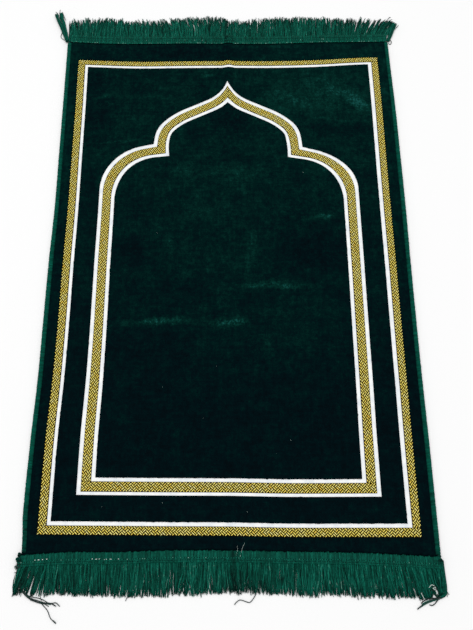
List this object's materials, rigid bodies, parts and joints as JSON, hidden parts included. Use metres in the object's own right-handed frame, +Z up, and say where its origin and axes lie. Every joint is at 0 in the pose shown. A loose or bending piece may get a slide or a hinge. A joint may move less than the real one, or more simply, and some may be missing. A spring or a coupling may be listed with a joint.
{
  "type": "prayer rug",
  "caption": "Flat pile prayer rug with a woven braid border and pointed arch, overcast long edges, fringed short ends and loose yarn tails at its corners.",
  "frame": {"origin": "on the floor, under the middle of the whole outline, fringes and yarn tails included", "axes": "+Y along the rug from its foot to the tip of its arch, +X to the right of a viewer at the foot, +Z up from the floor"},
  "size_m": [0.7635, 1.2725, 0.0092],
  "materials": {
    "velour": "cut pile with a soft nap, near black in shade and deep green in light, with flat woven gold and white bands",
    "binding_yarn": "green yarn overcast close together",
    "fringe_yarn": "silky green strands below a stitched heading",
    "tail_yarn": "loose green yarn ends with grey green thread"
  },
  "bodies": {
    "root": {"velour_panel": "velour", "binding_left": "binding_yarn", "binding_right": "binding_yarn", "fringe_top": "fringe_yarn", "fringe_bottom": "fringe_yarn", "tail_top_left": "tail_yarn", "tail_top_right": "tail_yarn", "tail_bottom_left": "tail_yarn", "tail_bottom_right": "tail_yarn"}
  },
  "joints": []
}
